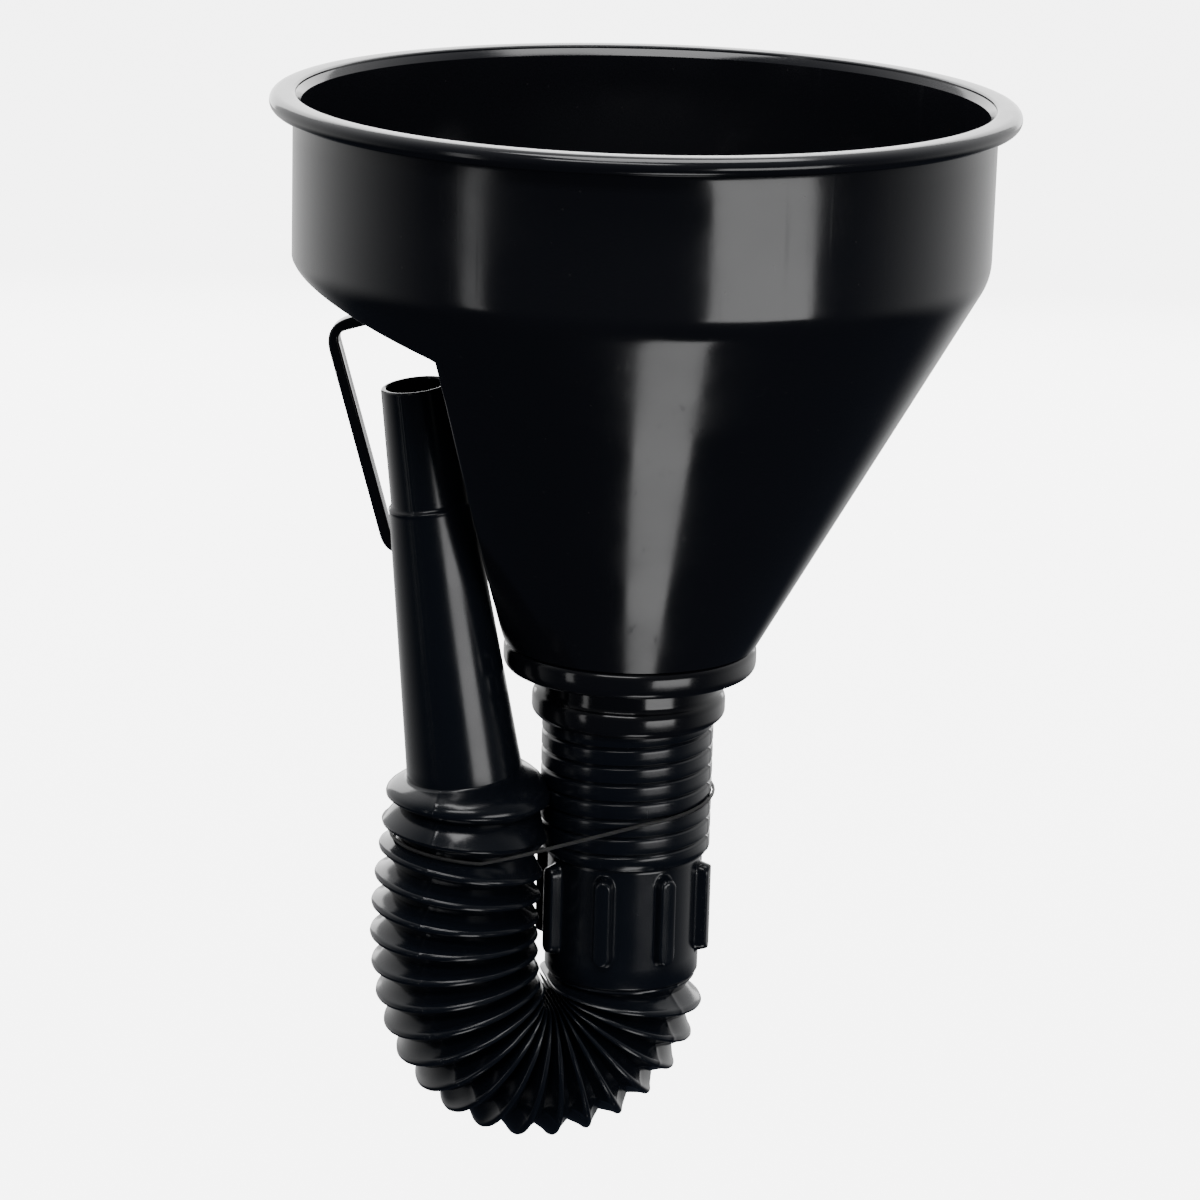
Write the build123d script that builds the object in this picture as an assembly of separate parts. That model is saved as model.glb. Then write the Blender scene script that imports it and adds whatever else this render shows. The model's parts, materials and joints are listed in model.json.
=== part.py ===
from build123d import *
import os
from math import cos, sin, tan, radians

os.makedirs("parts", exist_ok=True)

# A filling funnel with a recessed hand grip, a lift-out strainer and a flexible spout that is
# folded back beside the bowl. Millimetres. The origin is the centre of the mouth, in the plane
# of the rim's top. +Z is up along the funnel's axis and the handle is on the -X side.

CLEAR = 0.15            # half of the gap left between two pieces that move apart
BEYOND = 30.0           # a cutting shape runs this far past what it cuts

# Bowl
RIM_R = 80.0            # outer radius of the rolled rim
RIM_INNER_R = 74.4      # where the flat top of the rim ends, inside
RIM_H = 4.0
WALL_R = 75.0           # outside of the straight wall
WALL_T = 1.8
WALL_END_Z = -35.5      # the straight wall turns into the cone here
WALL_TURN_R = 3.0       # rounding where the wall turns into the cone
RIM_ROOT_R = 0.6        # and where the rim's underside meets the wall
CONE_END_R = 27.9
CONE_END_Z = -120.0

# Hand recess cut into the cone, with a flat, leaning wall behind and a flat ledge above that
# climbs outwards to the end of the straight wall
LEDGE_Z = -47.5         # where the ledge meets the leaning wall
LEDGE_SLOPE = 0.317     # climb per distance outwards
RECESS_TOP_X = -37.85   # the leaning wall, at the ledge
RECESS_END_X = -27.2    # and at the foot of the cone
RECESS_TURN = -4.0      # the recess and its handle point this far behind the -X side, degrees

# Handle, a flat strap bent into a loop, in its own vertical plane: (distance from axis, height)
STRAP_W = 4.8
STRAP_OUTER = [(38.0, -42.9), (68.7, -52.2), (54.2, -103.6), (26.0, -97.2)]
STRAP_INNER = [(38.0, -45.5), (65.6, -53.9), (52.45, -100.65), (26.0, -94.65)]
STRAP_CORNER_R = 4.0
STRAP_INNER_CORNER_R = 1.6

# Neck: a flange that closes the cone, with the spout's socket below it
FLANGE_R = 27.9
FLANGE_END_Z = -126.3
THROAT_R = 16.6
THROAT_TOP_R = 21.0
SOCKET_R = 20.3
SOCKET_BULGE_R = 21.4
SOCKET_BULGE_Z = -131.4
SOCKET_END_Z = -137.3
SOCKET_GAP = 0.25       # between the socket's bore and the thread

# Strainer, which stands on the flange inside the cone
STRAINER_R = 25.0
STRAINER_INNER_R = 20.5
STRAINER_H = 3.0
GAUZE_T = 0.6
GAUZE_DROP = 2.2        # how far the gauze is dished
GAUZE_HELD = 1.5        # depth of the groove in the frame that holds its edge
GAUZE_SLACK = 0.1       # left round the gauze in that groove

# Spout, one thin-walled moulding: threaded neck, ribbed grip, pleats and nozzle
SPOUT_WALL = 1.3
THREAD_R = 19.05
THREAD_ROOT_R = 18.2
THREAD_PITCH = 4.1
THREAD_LAND = 0.78      # share of the pitch down to the end of each flat crest
THREAD_FLANK = 0.4
NECK_TOP_Z = FLANGE_END_Z - 2 * CLEAR
GRIP_TOP_Z = -168.2
GRIP_END_Z = -199.7
GRIP_R = 17.2
GRIP_FOOT = 3.2         # height of the slope from the grip down to the first pleat
GRIP_BAR_R = 20.2
GRIP_BAR_W = 4.2
GRIP_BAR_TOP_Z = -170.3
GRIP_BAR_END_Z = -190.7
GRIP_BAR_EDGE = 0.8     # bevel round the bar's face
GRIP_BAR_ROOT = 1.0     # how far the bar is sunk into the grip
GRIP_BARS = 8
GRIP_BAR_FIRST = 31.0   # degrees from +X

# Pleats. Each hinges on the next about a line HINGE_OFFSET outwards of the spout's centre line.
SPOUT_TURN = 13.0       # the spout folds up this far to the front of the -X side, degrees
PLEAT_PITCH = 6.4
PLEAT_R = 19.0
PLEAT_VALLEY_R = 15.2
PLEAT_BORE_R = 12.6
PLEAT_TIP_H = 0.8       # height of the blunt tip of a pleat
PLEAT_THIN = 0.55       # a pleat is pressed flat where the fold would leave it thinner than this
INNER_REACH = 17.2      # the inner side of the fold is pressed this flat all along
PRESSED_REACH = 15.8    # and flatter still where the uppermost pleats lie against the neck
PRESSED_PLEATS = 4
HINGE_OFFSET = 10.0
EVEN_FOLD = 13.2
FOLDS = [8.5] + 10 * [EVEN_FOLD] + [12.0, 9.0, 7.0, 5.5, 5.5, 5.0, 2.0, 2.0, -4.5, -12.0]
PLEATS = len(FOLDS) - 1

# Nozzle: heights along its own axis, from the last pleat
SHOULDER_R = 18.4
SHOULDER_LIP_Z = 3.0
NOZZLE_BASE_Z = 7.3
NOZZLE_BASE_R = 12.8
NOZZLE_STEP_Z = 68.0
NOZZLE_STEP_R = 9.1
NOZZLE_STEP_H = 1.4
NOZZLE_NECK_R = 8.5
NOZZLE_TIP_Z = 95.4
NOZZLE_TIP_R = 7.5
NOZZLE_WALL = 1.2

# Retaining band round the folded spout
BAND_T = 1.0
BAND_SIDES = 8          # its section is a small octagon
BAND_CORNER = 0.93      # radius of its corners, as a share of the circle that they follow
BAND_VALLEY = 19        # it lies in the valley above this pleat
BAND_NECK_Z = -161.5
BAND_GAP_PLEAT = 1.0
BAND_GAP_NECK = 0.8


def turned(profile):
    """A solid of revolution about Z from a closed outline of (radius, height) points."""
    face = make_face(Polyline(*profile, close=True))
    return revolve(Plane.XZ * face, Axis.Z, 360)


def save(shape, node, colour):
    shape.label = node
    shape.color = Color(*colour)
    export_step(shape, f"parts/{node}.step")


# ---- bowl -----------------------------------------------------------------------------------

def recess_prism(grow):
    """The space cut out of the cone on the handle side, enlarged on its inner sides by grow."""
    lean = (RECESS_END_X - RECESS_TOP_X) / (CONE_END_Z - LEDGE_Z)
    low = CONE_END_Z - BEYOND
    far = -RIM_R - BEYOND
    root_x = RECESS_TOP_X + grow
    root_z = LEDGE_Z + grow * (1 - LEDGE_SLOPE / 2)
    low_x = root_x + lean * (low - root_z)
    far_z = root_z + LEDGE_SLOPE * (root_x - far)
    outline = Polyline((root_x, root_z), (low_x, low), (far, low), (far, far_z), close=True)
    prism = extrude(Plane.XZ * make_face(outline), RIM_R + BEYOND, both=True)
    return Rot(0, 0, RECESS_TURN) * prism


def bowl_outside():
    half = RIM_H / 2
    with BuildSketch(Plane.XZ) as sketch:
        with BuildLine():
            Polyline((0, 0), (RIM_R - half, 0))
            ThreePointArc((RIM_R - half, 0), (RIM_R, -half), (RIM_R - half, -RIM_H))
            FilletPolyline((RIM_R - half, -RIM_H), (WALL_R, -RIM_H), (WALL_R, WALL_END_Z),
                           (CONE_END_R, CONE_END_Z), radius=[RIM_ROOT_R, WALL_TURN_R])
            Polyline((CONE_END_R, CONE_END_Z), (0, CONE_END_Z), (0, 0))
        make_face()
    return revolve(sketch.sketch, Axis.Z, 360) - recess_prism(0)


def bowl_inside():
    over = 1.0
    top_r = RIM_INNER_R + over
    wall_r = WALL_R - WALL_T
    low_r = CONE_END_R - WALL_T * 1.1
    slope = (wall_r - low_r) / (WALL_END_Z - CONE_END_Z)
    end_r = low_r - slope * over
    solid = turned([(0, over), (top_r, over), (wall_r, RIM_INNER_R - top_r - 0.2),
                    (wall_r, WALL_END_Z), (end_r, CONE_END_Z - over), (0, CONE_END_Z - over)])
    return solid - recess_prism(WALL_T)


def bowl():
    return bowl_outside() - bowl_inside()


def handle():
    """The strap loop, cut back so that it meets the ledge and the recess wall face to face."""
    outer_face = make_face(FilletPolyline(*STRAP_OUTER, radius=STRAP_CORNER_R, close=True))
    inner_face = make_face(FilletPolyline(*STRAP_INNER, radius=STRAP_INNER_CORNER_R, close=True))
    strap = extrude(Plane.XZ * (outer_face - inner_face), STRAP_W / 2, both=True)
    strap = Rot(0, 0, 180 + RECESS_TURN) * strap - bowl_outside()
    return max(strap.solids(), key=lambda solid: solid.volume)


# ---- neck -----------------------------------------------------------------------------------

def neck_flange():
    edge = 1.2
    seat_z = FLANGE_END_Z + 2.0
    return turned([(THROAT_TOP_R, CONE_END_Z), (FLANGE_R - edge, CONE_END_Z),
                   (FLANGE_R, CONE_END_Z - edge), (FLANGE_R, FLANGE_END_Z + edge),
                   (FLANGE_R - edge, FLANGE_END_Z), (THROAT_R, FLANGE_END_Z),
                   (THROAT_R, seat_z)])


def spout_socket():
    edge = 1.0
    bore = THREAD_R + SOCKET_GAP
    return turned([(bore, FLANGE_END_Z), (SOCKET_R, FLANGE_END_Z), (SOCKET_R, SOCKET_BULGE_Z),
                   (SOCKET_BULGE_R, SOCKET_BULGE_Z - edge), (SOCKET_BULGE_R, SOCKET_END_Z + edge),
                   (SOCKET_BULGE_R - edge, SOCKET_END_Z), (bore, SOCKET_END_Z)])


# ---- strainer -------------------------------------------------------------------------------

def strainer_ring():
    """The frame, with a groove inside that holds the edge of the gauze."""
    low = CONE_END_Z
    high = low + STRAINER_H
    gauze_low = low + STRAINER_H / 2 - GAUZE_T / 2
    gauze_high = gauze_low + GAUZE_T
    groove_r = STRAINER_INNER_R + GAUZE_HELD
    return turned([(STRAINER_INNER_R, low), (STRAINER_R - 0.6, low), (STRAINER_R, low + 0.6),
                   (STRAINER_R, high), (STRAINER_INNER_R, high),
                   (STRAINER_INNER_R, gauze_high), (groove_r, gauze_high),
                   (groove_r, gauze_low), (STRAINER_INNER_R, gauze_low)])


def strainer_gauze():
    """A thin dished disc with a flat edge held in the frame."""
    low = CONE_END_Z + STRAINER_H / 2 - GAUZE_T / 2
    edge = STRAINER_INNER_R + GAUZE_HELD - GAUZE_SLACK
    dish_r = STRAINER_INNER_R - GAUZE_SLACK
    under = [(edge, low), (dish_r, low), (dish_r * 0.55, low - GAUZE_DROP * 0.7),
             (0, low - GAUZE_DROP)]
    over = [(radius, height + GAUZE_T) for radius, height in reversed(under)]
    return turned(under + over)


# ---- spout ----------------------------------------------------------------------------------

def spout_neck():
    """The threaded tube. The thread is a row of ring ridges on the helix's pitch."""
    bore = THREAD_ROOT_R - SPOUT_WALL
    land = THREAD_PITCH * THREAD_LAND
    outline = [(bore, NECK_TOP_Z)]
    top = NECK_TOP_Z
    while top - THREAD_PITCH > GRIP_TOP_Z:
        outline += [(THREAD_ROOT_R, top), (THREAD_R, top - THREAD_FLANK), (THREAD_R, top - land)]
        top -= THREAD_PITCH
    outline += [(THREAD_ROOT_R, top), (THREAD_ROOT_R, GRIP_TOP_Z), (bore, GRIP_TOP_Z)]
    return turned(outline)


def grip_bar(angle):
    """One raised bar with round ends, standing out of the grip."""
    height = GRIP_BAR_TOP_Z - GRIP_BAR_END_Z
    middle = (GRIP_BAR_TOP_Z + GRIP_BAR_END_Z) / 2
    depth = GRIP_BAR_R - GRIP_R + GRIP_BAR_ROOT
    slot = SlotOverall(height, GRIP_BAR_W)
    bar = extrude(slot, depth)
    bar = chamfer(bar.faces().sort_by(Axis.Z)[-1].edges(), GRIP_BAR_EDGE)
    place = Plane(origin=(GRIP_R - GRIP_BAR_ROOT, 0, middle), x_dir=(0, 0, 1), z_dir=(1, 0, 0))
    return Rot(0, 0, angle) * (place * bar)


def spout_grip():
    bore = GRIP_R - SPOUT_WALL
    end_z = GRIP_END_Z + CLEAR
    foot_z = GRIP_END_Z + GRIP_FOOT
    body = turned([(PLEAT_BORE_R, end_z), (PLEAT_VALLEY_R, end_z), (GRIP_R, foot_z),
                   (GRIP_R, GRIP_TOP_Z), (bore, GRIP_TOP_Z), (bore, foot_z),
                   (PLEAT_BORE_R, foot_z - GRIP_FOOT / 2)])
    for index in range(GRIP_BARS):
        body += grip_bar(GRIP_BAR_FIRST + index * 360 / GRIP_BARS)
    height = GRIP_TOP_Z - GRIP_END_Z + BEYOND
    keep = fold_space(height, 0, FOLDS[0], GRIP_R + BEYOND, GRIP_R + BEYOND)
    place = before(chain()[0], FOLDS[0])
    return body & (place * (Pos(0, 0, -height) * keep))


def chain():
    """The frame of each pleat and, last, of the nozzle: Z runs on along the spout, X outwards."""
    to_arm = Vector(-cos(radians(SPOUT_TURN)), -sin(radians(SPOUT_TURN)), 0)
    up = Vector(0, 0, 1)
    valley = Vector(0, 0, GRIP_END_Z)
    bend = 0.0
    frames = []
    for fold in FOLDS:
        hinge = valley + outwards(to_arm, up, bend) * HINGE_OFFSET
        bend += fold
        out = outwards(to_arm, up, bend)
        along = to_arm * sin(radians(bend)) - up * cos(radians(bend))
        valley = hinge - out * HINGE_OFFSET
        frames.append(Plane(origin=valley, x_dir=out, z_dir=along))
        valley = valley + along * PLEAT_PITCH
    return frames


def outwards(to_arm, up, bend):
    """The direction from the centre line to the outside of the bend."""
    return to_arm * -cos(radians(bend)) - up * sin(radians(bend))


def before(frame, fold):
    """The frame that a pleat would have without the fold at its start."""
    swing = Pos(HINGE_OFFSET, 0, 0) * Rot(0, fold, 0) * Pos(-HINGE_OFFSET, 0, 0)
    return Plane(frame.location * swing)


def fold_space(height, fold_low, fold_high, outside, inside):
    """What a pleat may fill: a slab, cut back on the side of each fold that closes."""
    def bound(fold, x):
        lift = tan(radians(abs(fold) / 2))
        closing = HINGE_OFFSET - x if fold > 0 else x - HINGE_OFFSET
        return CLEAR + lift * max(closing, 0)
    sides = (-inside, HINGE_OFFSET, outside)
    low = [(x, bound(fold_low, x)) for x in sides]
    high = [(x, height - bound(fold_high, x)) for x in sides]
    face = make_face(Polyline(*low, *reversed(high), close=True))
    return extrude(Plane.XZ * face, PLEAT_R + BEYOND, both=True)


def pressed_flat(fold_low, fold_high):
    """How far a pleat reaches on the inside of the bend before it gets too thin."""
    closing = tan(radians(max(fold_low, 0) / 2)) + tan(radians(max(fold_high, 0) / 2))
    room = PLEAT_PITCH - 2 * CLEAR - PLEAT_THIN
    if closing * (INNER_REACH + HINGE_OFFSET) < room:
        return INNER_REACH
    return room / closing - HINGE_OFFSET


def pleat(number):
    fold_low = FOLDS[number - 1]
    fold_high = FOLDS[number]
    middle = PLEAT_PITCH / 2
    tip = PLEAT_TIP_H / 2
    ring = turned([(PLEAT_BORE_R, 0), (PLEAT_VALLEY_R, 0), (PLEAT_R, middle - tip),
                   (PLEAT_R, middle + tip), (PLEAT_VALLEY_R, PLEAT_PITCH),
                   (PLEAT_BORE_R, PLEAT_PITCH)])
    reach = pressed_flat(fold_low, fold_high)
    if number > PLEATS - PRESSED_PLEATS:
        reach = PRESSED_REACH
    return ring & fold_space(PLEAT_PITCH, fold_low, fold_high, PLEAT_R + 1, reach)


# ---- nozzle ---------------------------------------------------------------------------------

def nozzle_shoulder():
    inner_base = NOZZLE_BASE_R - NOZZLE_WALL
    ring = turned([(PLEAT_BORE_R, 0), (PLEAT_VALLEY_R, 0), (SHOULDER_R, SHOULDER_LIP_Z - 0.6),
                   (SHOULDER_R, SHOULDER_LIP_Z + 0.4), (SHOULDER_R - 1.8, SHOULDER_LIP_Z + 2.4),
                   (NOZZLE_BASE_R, NOZZLE_BASE_Z), (inner_base, NOZZLE_BASE_Z),
                   (SHOULDER_R - 3.6, SHOULDER_LIP_Z)])
    space = fold_space(NOZZLE_BASE_Z + CLEAR, FOLDS[-1], 0, PLEAT_R + 1, PRESSED_REACH)
    return ring & space


def nozzle():
    wall = NOZZLE_WALL
    step_end = NOZZLE_STEP_Z + NOZZLE_STEP_H
    lip = 0.5
    return turned([(NOZZLE_BASE_R - wall, NOZZLE_BASE_Z), (NOZZLE_BASE_R, NOZZLE_BASE_Z),
                   (NOZZLE_STEP_R, NOZZLE_STEP_Z), (NOZZLE_NECK_R, step_end),
                   (NOZZLE_TIP_R, NOZZLE_TIP_Z - lip), (NOZZLE_TIP_R - lip, NOZZLE_TIP_Z),
                   (NOZZLE_TIP_R - wall, NOZZLE_TIP_Z - lip), (NOZZLE_NECK_R - wall, step_end),
                   (NOZZLE_STEP_R - wall, NOZZLE_STEP_Z)])


# ---- band -----------------------------------------------------------------------------------

def half_turn(place, radius):
    """Corners round the +X half of a circle about a frame's Z; rounded off, they follow it."""
    step = 45.0
    corner_r = radius / cos(radians(step / 2))
    corners = []
    for angle in (-1.5 * step, -0.5 * step, 0.5 * step, 1.5 * step):
        spot = Pos(corner_r * cos(radians(angle)), corner_r * sin(radians(angle)), 0)
        corners.append((place.location * spot).position)
    return corners


def retaining_band():
    """Round the far side of the pleats, and across both gaps to the far side of the neck."""
    valley = before(chain()[BAND_VALLEY], FOLDS[BAND_VALLEY] / 2)
    from_arm = Vector(cos(radians(SPOUT_TURN)), sin(radians(SPOUT_TURN)), 0)
    neck = Plane(origin=(0, 0, BAND_NECK_Z), x_dir=from_arm, z_dir=(0, 0, 1))
    pleat_r = PLEAT_VALLEY_R + BAND_GAP_PLEAT + BAND_T / 2
    corners = half_turn(valley, pleat_r)
    neck_corners = half_turn(neck, THREAD_R + BAND_GAP_NECK + BAND_T / 2)
    if (corners[-1] - neck_corners[0]).length > (corners[-1] - neck_corners[-1]).length:
        neck_corners.reverse()
    path = FilletPolyline(*corners, *neck_corners, radius=BAND_CORNER * pleat_r, close=True)
    section = Plane(origin=path @ 0, z_dir=path % 0) * RegularPolygon(BAND_T / 2, BAND_SIDES)
    return sweep(section, path)


# ---- write the pieces -----------------------------------------------------------------------

BLACK = (0.05, 0.05, 0.055)
BRASS = (0.72, 0.55, 0.28)
RUBBER = (0.08, 0.08, 0.08)

save(bowl(), "bowl", BLACK)
save(handle(), "handle", BLACK)
save(neck_flange(), "neck_flange", BLACK)
save(spout_socket(), "spout_socket", BLACK)
save(strainer_ring(), "strainer_ring", BLACK)
save(strainer_gauze(), "strainer_gauze", BRASS)
save(spout_neck(), "spout_neck", BLACK)
save(spout_grip(), "spout_grip", BLACK)
frames = chain()
for index in range(PLEATS):
    save(frames[index] * pleat(index + 1), f"pleat_{index + 1:02d}", BLACK)
save(frames[-1] * nozzle_shoulder(), "nozzle_shoulder", BLACK)
save(frames[-1] * nozzle(), "nozzle", BLACK)
save(retaining_band(), "retaining_band", RUBBER)
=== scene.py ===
import json
import math

import bmesh
import bpy
import numpy as np
from mathutils import Matrix, Vector


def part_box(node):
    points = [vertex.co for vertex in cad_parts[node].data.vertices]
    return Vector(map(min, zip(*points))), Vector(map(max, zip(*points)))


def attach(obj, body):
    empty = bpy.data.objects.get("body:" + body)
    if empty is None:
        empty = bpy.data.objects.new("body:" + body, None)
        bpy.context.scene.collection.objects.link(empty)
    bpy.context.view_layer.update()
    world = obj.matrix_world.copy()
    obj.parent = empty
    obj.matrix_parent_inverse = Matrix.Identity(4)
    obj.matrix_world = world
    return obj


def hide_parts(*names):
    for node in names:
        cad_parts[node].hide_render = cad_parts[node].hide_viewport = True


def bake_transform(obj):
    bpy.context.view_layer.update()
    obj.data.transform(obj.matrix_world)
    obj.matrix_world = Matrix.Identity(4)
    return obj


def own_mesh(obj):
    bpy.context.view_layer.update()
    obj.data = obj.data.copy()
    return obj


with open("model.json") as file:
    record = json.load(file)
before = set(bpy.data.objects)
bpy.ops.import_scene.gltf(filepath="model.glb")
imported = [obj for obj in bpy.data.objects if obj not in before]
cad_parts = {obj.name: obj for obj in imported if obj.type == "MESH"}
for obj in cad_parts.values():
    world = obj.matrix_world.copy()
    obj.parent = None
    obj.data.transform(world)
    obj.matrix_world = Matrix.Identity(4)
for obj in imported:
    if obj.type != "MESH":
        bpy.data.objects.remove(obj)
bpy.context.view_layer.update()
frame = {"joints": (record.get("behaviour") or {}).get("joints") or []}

# A glossy black filling funnel with its pleated spout folded up beside it. Metres, in the part's
# own frame: the origin is the centre of the mouth, +Z is up and the handle is on the -X side.

MM = 0.001
UP = Vector((0, 0, 1))

# ---- sizes, read from the frame ---------------------------------------------------------------

RIM_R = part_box("bowl")[1].x
FOOT_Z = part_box("bowl")[0].z
FLANGE_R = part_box("neck_flange")[1].x
FLANGE_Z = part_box("neck_flange")[0].z
SOCKET_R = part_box("spout_socket")[1].x
SOCKET_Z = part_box("spout_socket")[0].z
THREAD_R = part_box("spout_neck")[1].x
NECK_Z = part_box("spout_neck")[1].z
GRIP_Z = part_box("spout_grip")[1].z
BAR_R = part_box("spout_grip")[1].x
STRAINER_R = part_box("strainer_ring")[1].x
STRAINER_TOP_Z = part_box("strainer_ring")[1].z

# ---- sizes that the boxes don't give, the same as the CAD part's ------------------------------

RIM_H = 4.0 * MM
RIM_LIP_R = 74.4 * MM
WALL_R = 75.0 * MM
WALL_T = 1.8 * MM
WALL_END_Z = -35.5 * MM
LEDGE_Z = -47.5 * MM
LEDGE_SLOPE = 0.317
RECESS_TOP = 37.85 * MM
RECESS_END = 27.2 * MM
RECESS_AZIMUTH = math.radians(176)
THREAD_ROOT_R = 18.2 * MM
THREAD_PITCH = 4.1 * MM
SPOUT_WALL = 1.1 * MM
GRIP_R = 17.2 * MM
GRIP_END_Z = -199.7 * MM
GRIP_BARS = 8
GRIP_BAR_FIRST = math.radians(31)
PLEAT_PITCH = 6.4 * MM
PLEAT_R = 18.95 * MM
PLEAT_DEPTH = 3.8 * MM
CREST_ROUND = 0.42 * MM
HINGE_OFFSET = 10.0 * MM
SEAM_ANGLE = math.radians(54)
BAND_FOLD = 19
BAND_NECK_Z = -156.9 * MM
BAND_CLIMB = 0.13


# ---- mesh helpers -----------------------------------------------------------------------------

def new_piece(name, vertices, faces, material, body=None, smooth_angle=40):
    """A mesh object from vertices and faces, welded, shaded smooth, riding on a body."""
    mesh = bpy.data.meshes.new(name)
    mesh.from_pydata([tuple(v) for v in vertices], [], faces)
    work = bmesh.new()
    work.from_mesh(mesh)
    bmesh.ops.remove_doubles(work, verts=work.verts, dist=2e-6)
    bmesh.ops.dissolve_degenerate(work, edges=work.edges, dist=1e-7)
    bmesh.ops.recalc_face_normals(work, faces=work.faces)
    sharp = math.radians(smooth_angle)
    for edge in work.edges:
        edge.smooth = len(edge.link_faces) == 2 and edge.calc_face_angle(0) < sharp
    for face in work.faces:
        face.smooth = True
    work.to_mesh(mesh)
    work.free()
    mesh.materials.append(material)
    piece = bpy.data.objects.new(name, mesh)
    bpy.context.scene.collection.objects.link(piece)
    if body:
        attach(piece, body)
    return piece


def grid_faces(columns, rows, wrap_columns=True, wrap_rows=False):
    """Quads for vertices stored column after column."""
    faces = []
    for c in range(columns if wrap_columns else columns - 1):
        d = (c + 1) % columns
        for r in range(rows if wrap_rows else rows - 1):
            s = (r + 1) % rows
            faces.append((c * rows + r, c * rows + s, d * rows + s, d * rows + r))
    return faces


def round_corners(points, radii, steps=5):
    """A polyline in (radius, height) with each inner corner replaced by a short curve."""
    points = [np.array(p, float) for p in points]
    out = [points[0]]
    for before, corner, after, cut in zip(points, points[1:], points[2:], radii):
        to_before, to_after = before - corner, after - corner
        len_b, len_a = np.linalg.norm(to_before), np.linalg.norm(to_after)
        reach = min(cut, 0.48 * len_b, 0.48 * len_a)
        if reach < 1e-7:
            out += [corner] * (steps + 1)
            continue
        a = corner + to_before / len_b * reach
        b = corner + to_after / len_a * reach
        for i in range(steps + 1):
            t = i / steps
            out.append(a * (1 - t) ** 2 + corner * 2 * t * (1 - t) + b * t * t)
    out.append(points[-1])
    return out


def lathe(name, profile, material, body, segments=192):
    """A closed ring turned from a closed outline of (radius, height) points."""
    vertices = []
    for c in range(segments):
        angle = 2 * math.pi * c / segments
        for radius, height in profile:
            vertices.append((radius * math.cos(angle), radius * math.sin(angle), height))
    faces = grid_faces(segments, len(profile), True, True)
    return new_piece(name, vertices, faces, material, body)


def smooth_step(x):
    x = min(max(x, 0.0), 1.0)
    return x * x * (3 - 2 * x)


# ---- materials --------------------------------------------------------------------------------

def nodes_of(material):
    material.use_nodes = True
    nodes = material.node_tree.nodes
    return nodes, material.node_tree.links, nodes["Principled BSDF"]


def set_socket(shader, name, value):
    if name in shader.inputs:
        shader.inputs[name].default_value = value


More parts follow.
